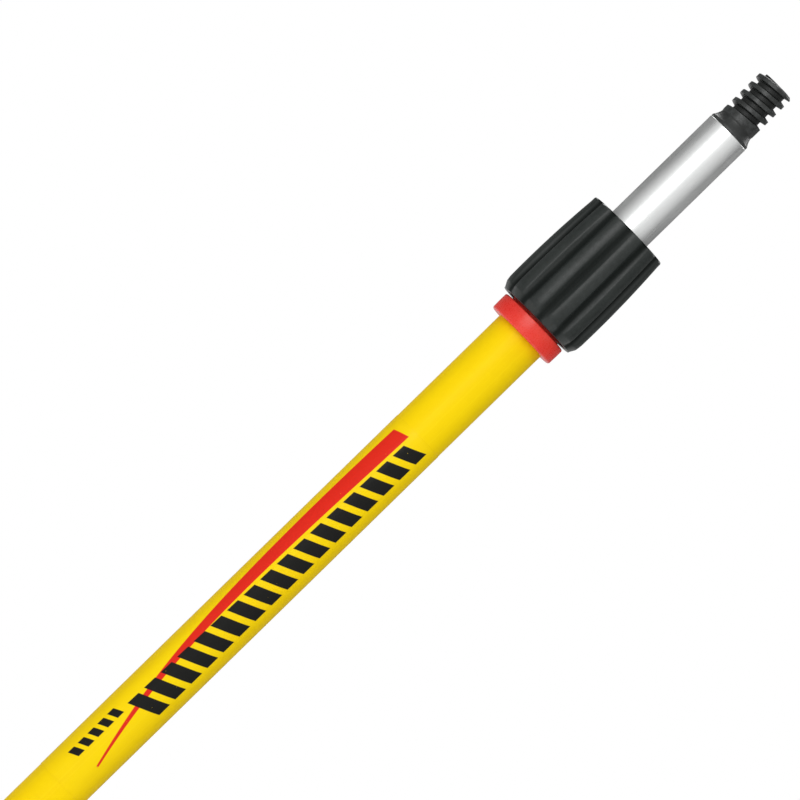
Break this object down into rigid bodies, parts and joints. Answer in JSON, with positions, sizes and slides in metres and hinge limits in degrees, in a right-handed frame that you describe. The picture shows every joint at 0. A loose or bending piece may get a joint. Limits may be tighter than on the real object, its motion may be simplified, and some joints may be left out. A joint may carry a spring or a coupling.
{
  "type": "telescopic sander pole",
  "caption": "Telescopic pole for sanding and painting heads: tube sliding in a larger tube, fluted twist-lock nut with a collar, threaded tool tip, butt cap with a hang hole.",
  "frame": {"origin": "centre of the butt's lower face, on the pole's axis", "axes": "+Z along the pole from the butt to the threaded tip; -Y is the side that carries the middle of the printed film; +X to the right of it"},
  "size_m": [0.0462, 0.0462, 0.7],
  "materials": {
    "fibreglass_yellow": "satin gel coat over fibreglass",
    "film_print": "gloss printed film",
    "collar_red": "moulded, satin",
    "nut_black": "moulded, fine grain",
    "cap_black": "moulded, fine grain",
    "tip_black": "moulded, glass filled",
    "plug_grey": "moulded",
    "acetal_white": "moulded acetal",
    "rubber_black": "moulded rubber",
    "tube_aluminium": "drawn, satin anodised",
    "pin_aluminium": "plain",
    "eyelet_steel": "nickel plated",
    "spring_steel": "spring steel"
  },
  "bodies": {
    "outer_section": {"outer_tube": "fibreglass_yellow", "label_wrap": "film_print", "lock_collar": "collar_red", "collar_pins": "pin_aluminium", "stop_cushion": "rubber_black", "clamp_ring": "acetal_white", "butt_cap": "cap_black", "hang_eyelet": "eyelet_steel", "cap_pins": "pin_aluminium", "foot_pad": "rubber_black", "bumper": "rubber_black"},
    "thrust": {"thrust_ring": "acetal_white"},
    "nut": {"lock_nut": "nut_black", "wiper_ring": "rubber_black", "wiper_retainer": "spring_steel"},
    "guide": {"guide_ring": "acetal_white"},
    "inner_section": {"inner_tube": "tube_aluminium", "threaded_tip": "tip_black", "tip_pins": "pin_aluminium", "guide_plug": "plug_grey", "guide_pins": "pin_aluminium", "stop_ring": "acetal_white"}
  },
  "joints": [
    {"name": "nut_advance", "type": "slide", "parent": "outer_section", "child": "thrust", "axis": [0, 0, 1], "range_m": [0, 0.006]},
    {"name": "nut_twist", "type": "hinge", "parent": "thrust", "child": "nut", "pos_m": [0, 0, 0.576], "axis": [0, 0, 1], "range_deg": [0, 540]},
    {"name": "extend", "type": "slide", "parent": "outer_section", "child": "guide", "axis": [0, 0, 1], "range_m": [0, 0.512]},
    {"name": "swivel", "type": "hinge", "parent": "guide", "child": "inner_section", "pos_m": [0, 0, 0.035], "axis": [0, 0, 1], "continuous": true}
  ],
  "couplings": [
    {"joint": "nut_advance", "follows": "nut_twist", "m_per_rad": 0.00063662}
  ]
}
